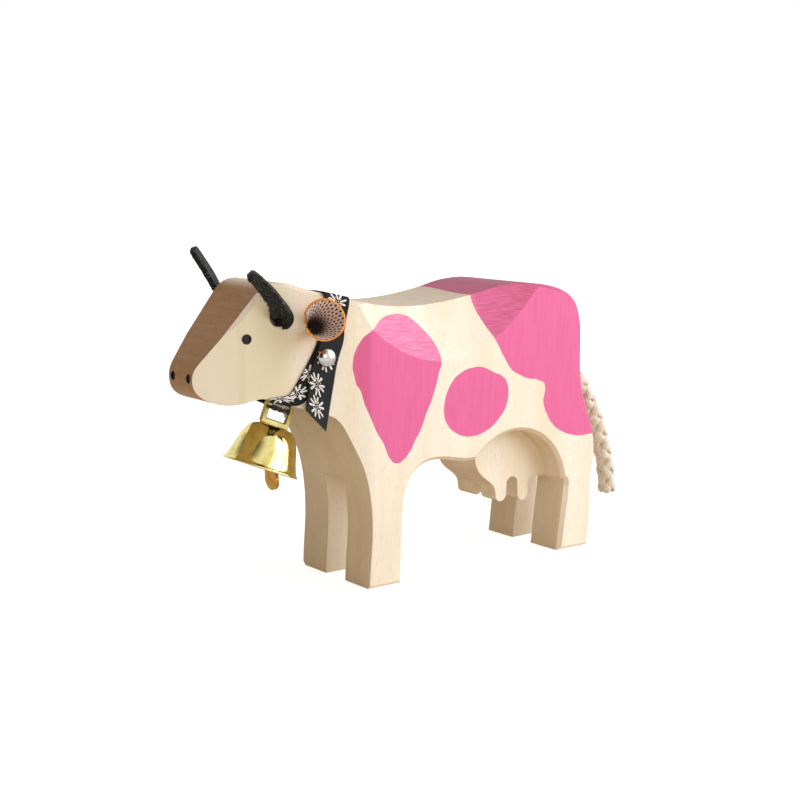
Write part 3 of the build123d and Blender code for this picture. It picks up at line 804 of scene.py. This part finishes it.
def makeHorn(name, side):
    foot, out, forward = sideFrame(side, *horn["foot"])
    up, rise = Vector((0, 0, 1)), horn["rises"][name]
    face = Vector((side * sin(radians(horn["faceAngle"])), -cos(radians(horn["faceAngle"])), 0))
    stations = []
    for o, u, riseShare, f, reachShare in horn["line"]:
        height, ahead = u + rise * riseShare, f + horn["reach"] * reachShare
        stations.append([foot + out * o + up * height + forward * ahead])
    centre = [row[0] for row in throughStations(stations, horn["steps"])]
    wide = horn["acrossPoints"]
    rows = []
    for i, place in enumerate(centre):
        t = i / (len(centre) - 1)
        heading = headingAt(centre, i)
        across = heading.cross(face).normalized()
        proud = across.cross(heading).normalized()
        width = between(horn["widths"], t)
        cup = horn["cup"] * max(0.0, 1 - abs(t - 0.22) / 0.4)
        row = []
        for j in range(wide):
            u = 2 * j / (wide - 1) - 1
            ragged = dice.uniform(*horn["ragged"]) if j == 0 and i > 10 else 0.0
            row.append(place + across * (u * width / 2 + ragged) * side - proud * cup * (0.5 - u * u))
        rows.append(row)
    points, faces, uvs, groups, normals, _ = stripSolid(rows, horn["thick"])
    groups = [1 if group == 2 else 0 for group in groups]
    # Cut fibres stand off the front edge
    for _ in range(horn["frays"]):
        i = dice.randrange(14, len(rows) - 6)
        j, inner = (0, 1) if rows[i][0].y < rows[i][-1].y else (-1, -2)
        out = (rows[i][j] - rows[i][inner]).normalized()
        run = (rows[i + 1][j] - rows[i][j]).normalized()
        lean = (out + run * dice.uniform(-0.7, 0.7) + normals[i][j] * dice.uniform(-0.5, 0.5)).normalized()
        base = rows[i][j] + normals[i][j] * dice.uniform(-0.5, 0.5) * horn["thick"]
        before = len(faces)
        addFibre(points, faces, uvs, base, out, lean, dice.uniform(*horn["frayLong"]), horn["frayHalf"])
        groups += [2] * (len(faces) - before)
    parts = ("suede", "edge", "fray")
    cuts = [shared("horn" + part.capitalize(), leatherMaterial, *horn[part]) for part in parts]
    title, node = "horn" + name.capitalize(), "horn_" + name
    newPiece(title, points, faces, cuts, node, "black_leather", uvs, groups)


for name, side in sides.items():
    makeHorn(name, side)
print("horns made")


# Ears: cones rolled from leather, the suede side in

ear = {
    "foot": (-36.6, 78.3),
    "forward": 16.5, "lift": 16.8, "long": 10.6, "mouth": 12.2, "root": 3.8,
    "inHole": [(-3.6, 0.5), (-2.9, 0.9), (-2.2, 1.4), (-1.5, 1.85)],  # depth and radius of the rolled end
    "thick": 0.65,
    "gapTurn": 91.0,  # degrees from straight down, round towards the muzzle
    "gap": 4.9,
    "tuck": 0.3,  # how far one edge lies inside the other
    "steps": 24, "around": 64, "sunk": 0.8,
}


def earSuedeMaterial(name):
    startMaterial(name, 0.15)
    uv = coords("UV")
    row, place, _ = put("SeparateXYZ", {0: stretch(uv, (0.74, 0.64, 1.0))}).outputs
    # Every other row of holes is set half a step along
    odd = times(maths("MODULO", maths("FLOOR", row), 2.0), 0.5)
    across = maths("SUBTRACT", maths("FRACT", row), 0.5)
    along = maths("SUBTRACT", maths("FRACT", maths("ADD", place, odd)), 0.5)
    squares = times(along, times(along, 0.55))
    distance = maths("SQRT", timesPlus(across, across, squares))
    nap = cloud(uv, 3.0, 4.0)
    holes = fade(timesPlus(nap, 0.16, distance), 0.38, 0.3)
    # Painted shade: the suede darkens deep inside the cone, towards its narrow end
    deep = put("SeparateXYZ", {0: uv}).outputs[1]
    colour = layered(
        tone(252, 246, 242), (fade(nap, 0.35, 0.7), tone(232, 216, 210)),
        (holes, tone(136, 40, 14)), (fade(deep, 6.4, 2.2, 0.0, 0.92), tone(52, 34, 26)),
    )
    return finished(colour, 0.85, timesPlus(holes, -1.0, nap), 0.6, 0.2)


def earHideMaterial(name):
    startMaterial(name, 0.45)
    uv = coords("UV")
    pebble = cells(uv, 3.2)
    blotch = cloud(uv, 0.5)
    colour = layered(
        tone(196, 112, 30), (fade(pebble, 0.1, 0.6), tone(226, 150, 58)),
        (fade(blotch, 0.45, 0.75, 0.0, 0.5), tone(178, 92, 30)),
    )
    return finished(colour, timesPlus(pebble, 0.2, 0.42), pebble, 0.5, 0.1)


def makeEar(name, side):
    foot, _, _ = sideFrame(side, *ear["foot"])
    level, turn = cos(radians(ear["lift"])), radians(ear["forward"])
    heading = Vector((side * level * cos(turn), -level * sin(turn), sin(radians(ear["lift"]))))
    down = (Vector((0, 0, -1)) + heading * heading.z).normalized()
    front = Vector((0, -1, 0))
    front = (front - heading * front.dot(heading) - down * front.dot(down)).normalized()
    gapAngle = radians(ear["gapTurn"])
    toGap = down * cos(gapAngle) + front * sin(gapAngle)
    aside = heading.cross(toGap) * side
    rows, steps, around = [], ear["steps"], ear["around"]
    root, mouth = ear["root"] / 2, ear["mouth"] / 2 - ear["thick"] / 2
    deep = len(ear["inHole"])
    for i in range(steps + 1):
        t = max(0.0, (i - deep) / (steps - deep))
        rise = (ear["long"] + ear["sunk"]) * t - ear["sunk"]
        radius = root + (mouth - root) * t ** 0.92
        if i < deep:
            rise, radius = ear["inHole"][i]
        halfGap = ear["gap"] / ear["mouth"] * (0.35 + 0.65 * min(1.0, t * 4))
        row = []
        for j in range(around + 1):
            u = j / around
            angle = halfGap + (2 * pi - 2 * halfGap) * u
            # One edge lies a little inside the other
            tuck = -ear["tuck"] * max(0.0, 1 - u * 9) * (1 - t * 0.5)
            bend = 1 + 0.03 * sin(2 * angle + 0.6)
            lip = 0.22 * sin(3 * angle) * t * t
            out = toGap * cos(angle) + aside * sin(angle)
            row.append(foot + heading * (rise + lip) + out * (radius * bend + tuck))
        rows.append(row)
    points, faces, uvs, groups, normals, _ = stripSolid(rows, ear["thick"])
    for k in range(len(points)):  # mm round the mouth and along the cone
        i, j = divmod(k % (len(points) // 2), around + 1)
        uvs[k] = (pi * ear["mouth"] * j / around, ear["long"] * i / steps)
    i, j = steps // 2, around // 2
    outward = rows[i][j] - foot - heading * ear["long"] / 2
    inner = 1 if normals[i][j].dot(outward) > 0 else 0
    groups = [0 if group == inner else 1 for group in groups]
    faced = [shared("earSuede", earSuedeMaterial), shared("earHide", earHideMaterial)]
    title, node = "ear" + name.capitalize(), "ear_" + name
    newPiece(title, points, faces, faced, node, "tan_leather", uvs, groups)


for name, side in sides.items():
    makeEar(name, side)
print("ears made")


# Ribbon: woven black, round the neck and through the bell's loop, one end hanging

ribbon = {
    "thick": 0.4,
    "off": 0.32,  # how far its middle lies off the wood
    "front": [
        (-33.5, 87.2), (-34.3, 81.0), (-35.7, 74.3), (-38.3, 69.0),
        (-41.2, 64.2), (-44.2, 59.9), (-47.6, 59.3), (-50.4, 58.9),
    ],
    "rear": [
        (-26.0, 85.6), (-26.9, 80.5), (-28.4, 74.0), (-31.8, 68.5),
        (-35.6, 62.8), (-38.9, 58.2), (-41.6, 56.5), (-44.4, 56.6),
    ],
    "overTop": (0.0, 0.45, 0.84),  # shares of the half width
    "farBack": {5: (0.8, 0.0), 6: (2.6, 0.4), 7: (4.4, 1.3)},  # the far side comes down straighter
    # Under the throat: how far out, front Y, rear Y, and each edge's drop below the wood
    "under": [
        (0.93, -49.8, -43.5, 0.0, 0.0), (0.66, -47.0, -41.0, 0.05, 0.05),
        (0.32, -43.7, -38.4, 0.8, 1.9), (0.0, -41.2, -36.3, 1.9, 1.9),
    ],
    "farUnder": (4.2, 1.9),  # how far back and down the far side lies there
    "acrossSteps": 16,
    "endFront": [(-34.2, 76.8), (-35.2, 74.2), (-36.4, 71.0), (-37.9, 66.9), (-39.1, 60.8), (-40.1, 55.1)],
    "endRear": [(-27.9, 77.6), (-28.2, 73.9), (-30.2, 67.6), (-31.4, 61.4), (-32.6, 55.4), (-34.1, 48.6)],
    "endOff": [0.85, 0.85, 0.85, 0.9, 1.0, 1.5],
    "crease": (0.72, 1.0, 0.32, 2.0),  # from and to along each half, depth in mm, waves across
    "band": (tone(7, 7, 8), tone(27, 27, 30)),
    # the hanging end's tones are lighter than the band's: painted light on the same ribbon
    "end": (tone(18, 19, 21), tone(50, 51, 55)),
}


def ribbonMaterial(name, dark, light):
    startMaterial(name, 0.2, Sheen_Weight=0.06)
    uv = coords("UV")
    threads = []
    for way, scale in (("X", 0.75), ("Y", 1.0)):
        inputs = {"Vector": uv, "Scale": scale, "Distortion": 0.6, "Detail": 1.0}
        threads.append(put("TexWave", inputs, bands_direction=way).outputs[1])
    weave = times(*threads)
    slub = cloud(uv, 1.2)
    colour = layered(dark, (weave, light), (fade(slub, 0.5, 0.8, 0.0, 0.35), light))
    return finished(colour, timesPlus(slub, 0.2, 0.55), weave, 0.5, 0.08)


# Height of the wood in mm, met from above or from below
def woodAt(x, y, start, way):
    hit = woodSurface.ray_cast(Vector((x, y, start)) * mm, Vector((0, 0, way)))
    return hit[0].z / mm


def rowAcross(first, last):
    steps = ribbon["acrossSteps"]
    return [first.lerp(last, j / steps) for j in range(steps + 1)]


# Stations from the top of the neck, down one side and under the throat to the loop
def halfCollar(side):
    off = ribbon["off"]
    stations = []
    for share in ribbon["overTop"]:
        pair = []
        for y in (ribbon["front"][0][0], ribbon["rear"][0][0]):
            x = side * headHalf(y) * share
            pair.append(Vector((x, y, woodAt(x, y, 150, -1) + off)))
        stations.append(rowAcross(*pair))
    for row, ((fy, fz), (ry, rz)) in enumerate(zip(ribbon["front"], ribbon["rear"])):
        back, fall = ribbon["farBack"].get(row, (0.0, 0.0)) if side < 0 else (0.0, 0.0)
        pair = [
            Vector((side * (headHalf(y + back) + off), y + back, z - fall)) for y, z in ((fy, fz), (ry, rz))
        ]
        stations.append(rowAcross(*pair))
    for share, frontY, rearY, frontDrop, rearDrop in ribbon["under"]:
        pair = []
        back = ribbon["farUnder"][0] * share if side < 0 else 0.0
        for y, drop in ((frontY + back, frontDrop), (rearY + back, rearDrop)):
            # The far side lies flatter, behind the jaw
            drop = drop if side > 0 else min(drop, ribbon["farUnder"][1] * (1 - share) ** 3)
            pair.append(Vector((side * headHalf(y) * share, y, woodAt(0, y, 30, 1) - off - drop)))
        stations.append(rowAcross(*pair))
    return stations


# Soft creases across the width where the ribbon is drawn together
def creased(rows, begin, end, depth, waves):
    normals = rowNormals(rows)
    for i, row in enumerate(rows):
        t = i / (len(rows) - 1)
        weight = max(0.0, min(1.0, (t - begin) / (end - begin)))
        weight = weight * weight * (3 - 2 * weight)
        for j in range(len(row)):
            u = j / (len(row) - 1)
            row[j] = row[j] + normals[i][j] * depth * weight * sin(2 * pi * waves * u + 2.0 * t)
    return rows


# A ribbon's outer face, to lay stars on by their place across and along
class Strip:
    def __init__(self, rows, normals, along, lift):
        self.rows, self.normals, self.along, self.lift = rows, normals, along, lift

    def at(self, u, v):
        along = self.along
        v = min(max(v, 0.0), along[-1] - 1e-6)
        i = min(max(k for k, start in enumerate(along) if start <= v), len(self.rows) - 2)
        t = (v - along[i]) / max(along[i + 1] - along[i], 1e-9)
        wide = len(self.rows[0]) - 1

        def onRow(row, normals):
            width = (row[-1] - row[0]).length
            place = min(max(0.5 + u / width, 0.0), 1.0) * wide
            j = min(int(place), wide - 1)
            return row[j].lerp(row[j + 1], place - j), normals[j].lerp(normals[j + 1], place - j)

        first, firstUp = onRow(self.rows[i], self.normals[i])
        last, lastUp = onRow(self.rows[i + 1], self.normals[i + 1])
        up = firstUp.lerp(lastUp, t).normalized()
        return first.lerp(last, t) + up * self.lift, up


star = {
    "reach": 3.2, "petals": 5, "strokeWide": 0.62, "innerWide": 0.34, "strokeFrom": 0.8, "raised": 0.07,
    "onEnd": [(-34.0, 69.0), (-36.2, 62.4), (-37.0, 55.8)],  # Y and Z
    "onBand": [(-47.0, 58.6), (-41.9, 59.9), (-38.4, 65.8), (-32.2, 73.9), (-30.0, 84.7)],
    "firstAt": 3.3, "spacing": 6.8, "apart": 5.2,
    "aside": 0.26,  # radians from a petal's middle to each of its two strokes
    "inner": ((1.25, 1.6), (0.3, 0.6)),
    # A stroke's breadth along it, rounded at both ends and broader at its far end
    "stroke": [(0.0, 0.34), (0.12, 0.62), (0.35, 0.8), (0.6, 0.95), (0.85, 1.0), (0.95, 0.75), (1.0, 0.3)],
}


# One stitched stroke
def addStroke(strip, centre, start, end, wide, points, faces):
    direction = Vector((end[0] - start[0], end[1] - start[1]))
    long = direction.length
    direction.normalize()
    square = Vector((-direction.y, direction.x))

    def onStrip(along, aside):
        u = start[0] + direction.x * along + square.x * aside + centre[0]
        v = start[1] + direction.y * along + square.y * aside + centre[1]
        return strip.at(u, v)

    stations = star["stroke"]
    outline = [(t * long, wide / 2 * share) for t, share in stations]
    outline += [(t * long, -wide / 2 * share) for t, share in reversed(stations)]
    base = len(points)
    for along, aside in outline:
        place, up = onStrip(along, aside)
        points.append(place - up * 0.03)
        points.append(place + up * star["raised"] * 0.7)
    spine = range(len(points), len(points) + len(stations))
    for t, _ in stations:
        place, up = onStrip(t * long, 0.0)
        points.append(place + up * star["raised"] * 1.5)
    count = len(outline)
    for k in range(count):
        a, b = base + 2 * k, base + 2 * ((k + 1) % count)
        faces.append((a, b, b + 1, a + 1))
    for k in range(len(stations) - 1):
        left, right = base + 2 * k + 1, base + 2 * (count - 1 - k) + 1
        faces.append((left, left + 2, spine[k + 1], spine[k]))
        faces.append((spine[k], spine[k + 1], right - 2, right))


# Across and along, from an angle and a distance
def ray(angle, reach):
    return sin(angle) * reach, cos(angle) * reach


def addStar(strip, centre, points, faces):
    turn = dice.uniform(0, 2 * pi)
    for petal in range(star["petals"]):
        middle = turn + 2 * pi * petal / star["petals"]
        for aside in (-star["aside"], star["aside"]):
            angle = middle + aside + dice.uniform(-0.05, 0.05)
            reach = star["reach"] * dice.uniform(0.86, 1.0)
            start = ray(angle - aside * 0.4, star["strokeFrom"])
            addStroke(strip, centre, start, ray(angle, reach), star["strokeWide"], points, faces)
        angle = middle + pi / star["petals"]
        for near, far in star["inner"]:
            addStroke(strip, centre, ray(angle, near), ray(angle, far), star["innerWide"], points, faces)


def threadMaterial():
    startMaterial("starThread", 0.3)
    stitches = cloud(inMm(), (5, 5, 5))
    colour = mixTones(fade(stitches, 0.4, 0.75), tone(246, 246, 244), tone(206, 206, 204))
    return finished(colour, 0.6, stitches, 0.5, 0.05)


# Where a place on the near side lies across and along a strip
def placeOn(strip, y, z):
    _, i, j = min(((point.y - y) ** 2 + (point.z - z) ** 2, i, j)
                  for i, row in enumerate(strip.rows) for j, point in enumerate(row) if point.x > 0)
    width = (strip.rows[i][-1] - strip.rows[i][0]).length
    return (j / (len(strip.rows[i]) - 1) - 0.5) * width, strip.along[i]


# Makes a ribbon piece and gives its outer face, where outward is 1 or -1
def makeStrip(name, rows, closed, outward, tones, replacing):
    points, faces, uvs, _, normals, along = stripSolid(rows, ribbon["thick"], closed, outward)
    cloth = ribbonMaterial("ribbonBand" if closed else name, *tones)
    newPiece(name, points, faces, [cloth], replacing, "ribbon", uvs)
    normals = [[normal * outward for normal in row] for row in normals]
    print(name, "made")
    return Strip(rows, normals, along, ribbon["thick"] / 2)


def makeRibbon():
    near, far = (creased(throughStations(halfCollar(side), 6), *ribbon["crease"]) for side in (1, -1))
    rows = far[::-1] + near[1:]
    # The first and last row meet under the throat
    last = rows.pop()
    rows[0] = [(a + b) / 2 for a, b in zip(rows[0], last)]
    middle = ribbon["acrossSteps"] // 2
    outward = -1 if rowNormals(rows, True)[len(rows) // 2][middle].z < 0 else 1
    band = makeStrip("collarRibbon", rows, True, outward, ribbon["band"], "collar_ribbon")
    stitched = [], []  # points and faces
    seen = [placeOn(band, y, z) for y, z in star["onBand"]]
    for place in seen:
        addStar(band, place, *stitched)
    # The rest follow at even steps, where there is room
    long = band.along[-1]
    for k in range(int(long / star["spacing"])):
        v = star["firstAt"] + star["spacing"] * k
        if v < long - 2 and min(abs(v - place[1]) for place in seen) > star["apart"]:
            addStar(band, (0.0, v), *stitched)

    # The hanging end lies over the band, then falls clear
    stations = []
    for (fy, fz), (ry, rz), off in zip(ribbon["endFront"], ribbon["endRear"], ribbon["endOff"]):
        stations.append(rowAcross(*(Vector((headHalf(y) + off, y, z)) for y, z in ((fy, fz), (ry, rz)))))
    hanging = throughStations(stations, 8)
    outward = 1 if rowNormals(hanging)[4][middle].x > 0 else -1
    end = makeStrip("ribbonEnd", hanging, False, outward, ribbon["end"], None)
    for y, z in star["onEnd"]:
        addStar(end, placeOn(end, y, z), *stitched)
    newPiece("ribbonStars", *stitched, [threadMaterial()], None, "ribbon")


makeRibbon()


# Floor, background and soft light

studio = {
    "floorTone": (0.8, 0.65, 0.47, 1.0),  # warm bounce into the shaded faces
    "keyPlace": (0.58, 0.66, 0.43),
    "keySize": 1.2, "keyPower": 10.5, "keyTint": (0.975, 0.98, 1.0),
    "fillPlace": (0.75, -0.35, 0.3),
    "fillSize": 0.5, "fillPower": 0.9, "fillTint": (1.0, 0.93, 0.86),
    "skyOpen": (0.55, 0.6, 0.66, 1.0),
    "skyShade": (0.28, 0.18, 0.075, 1.0),  # towards -Y
    "shineShade": (0.07, 0.04, 0.02, 1.0),  # what polished metal sees there
    "aim": (0, 0, 0.05),
    "floorReach": 2.0,
}


def placeLamp(which):
    lampData = bpy.data.lights.new(which + "Lamp", "AREA")
    lampData.shape = "DISK"
    lampData.size = studio[which + "Size"]
    lampData.energy = studio[which + "Power"]
    lampData.color = studio[which + "Tint"]
    lamp = newObject(which + "Lamp", lampData)
    lamp.location = studio[which + "Place"]
    aim = Vector(studio["aim"]) - Vector(studio[which + "Place"])
    lamp.rotation_euler = aim.to_track_quat("-Z", "Y").to_euler()


def light(kind, **inputs):
    return put(kind, inputs).outputs[0]


def choose(factor, first, second):
    return put("MixShader", {0: factor, 1: first, 2: second}).outputs[0]


def placeFloor():
    mesh = bpy.data.meshes.new("floor")
    reach = studio["floorReach"]
    corners = [(x * reach, y * reach, 0) for x, y in ((-1, -1), (1, -1), (1, 1), (-1, 1))]
    mesh.from_pydata(corners, [], [(0, 1, 2, 3)])
    floor = newObject("floor", mesh)
    mesh.materials.append(bpy.data.materials.new("paleFloor"))
    openTree(mesh.materials[0]).nodes.clear()
    rays = put("LightPath").outputs
    matte = light("BsdfDiffuse", Color=studio["floorTone"])
    # White to the camera, with only a faint shadow close to the feet
    far = vectorMaths("LENGTH", coords("Object")).outputs["Value"]
    glow = fade(far, 0.08, 0.2, 0.8, 1.0)
    white = light("Emission", Color=plainWhite, Strength=glow)
    shaded = light("BsdfDiffuse", Color=tone(205, 200, 196))
    lifted = put("AddShader", {0: shaded, 1: white}).outputs[0]
    seen = choose(rays["Is Glossy Ray"], matte, white)
    put("OutputMaterial", {"Surface": choose(rays["Is Camera Ray"], seen, lifted)})


def lightWorld():
    world = bpy.data.worlds.new("studio")
    bpy.context.scene.world = world
    openTree(world).nodes.clear()
    rays = put("LightPath").outputs
    toY = put("SeparateXYZ", {0: coords("Generated")}).outputs[1]
    sky = light("Background", Color=mixTones(fade(toY, -0.7, 0.3), studio["skyShade"], studio["skyOpen"]))
    shine = light("Background", Color=mixTones(fade(toY, -0.62, -0.2), studio["shineShade"], plainWhite))
    white = light("Background", Color=plainWhite)
    mixed = choose(rays["Is Glossy Ray"], sky, shine)
    seen = maths("MAXIMUM", rays["Is Camera Ray"], rays["Is Transmission Ray"])
    put("OutputWorld", {"Surface": choose(seen, mixed, white)})


placeFloor()
lightWorld()
placeLamp("key")
placeLamp("fill")
bpy.context.scene.view_settings.view_transform = "Standard"
print("studio lit")
